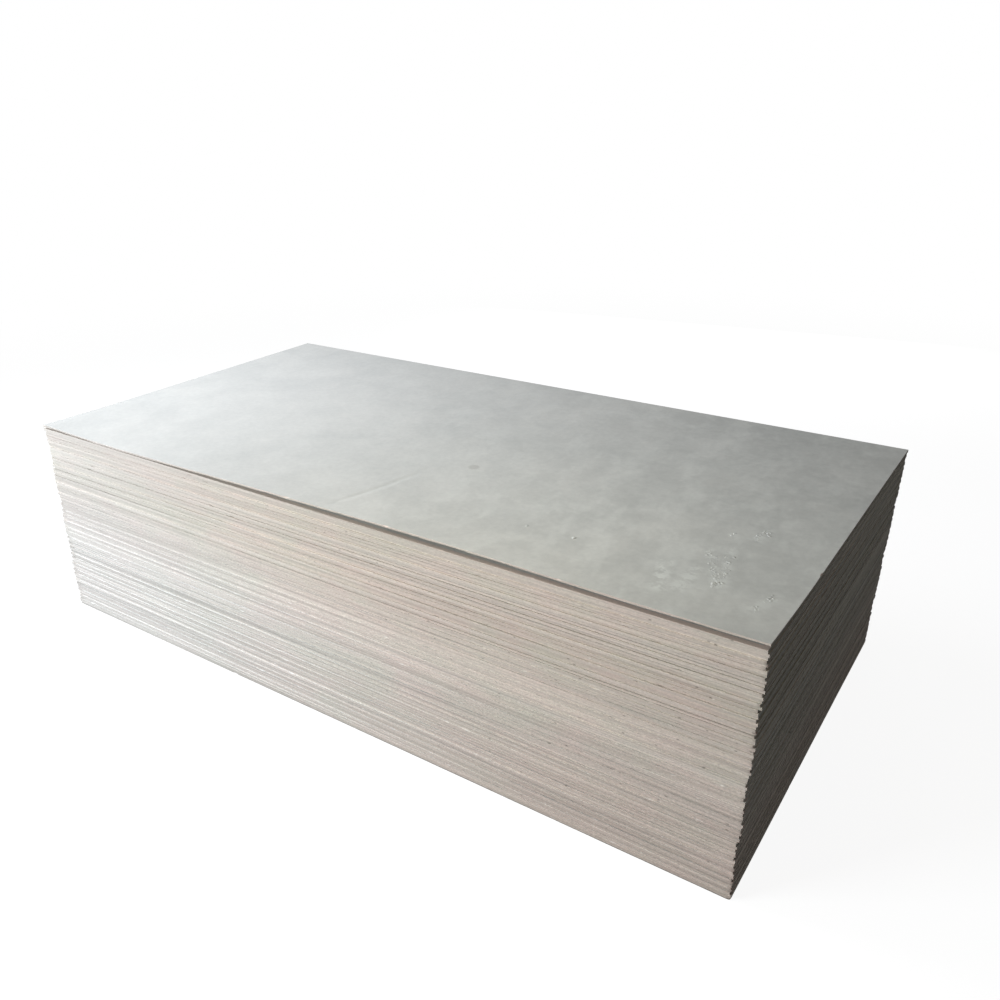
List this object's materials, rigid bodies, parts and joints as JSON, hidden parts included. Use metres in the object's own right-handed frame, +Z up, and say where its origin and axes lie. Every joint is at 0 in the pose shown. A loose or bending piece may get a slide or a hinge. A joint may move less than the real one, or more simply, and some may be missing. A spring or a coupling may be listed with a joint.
{
  "type": "stack of magnesium oxide boards",
  "caption": "Flush stack of flat rectangular magnesium oxide building boards lying on the floor, with a curled board on top.",
  "frame": {"origin": "middle of the floor face of the stack, under the middle of its bounding box", "axes": "+X along the length of the boards, +Y across their width from the front edge to the back edge, +Z up"},
  "size_m": [2.465, 1.2336, 0.689],
  "materials": {
    "board_face": "smooth moulded face, matt with a faint sheen",
    "board_edge": "sawn edge, matt"
  },
  "bodies": {
    "root": {"top_board": "board_face", "boards_even": "board_edge", "boards_odd": "board_edge"}
  },
  "joints": []
}
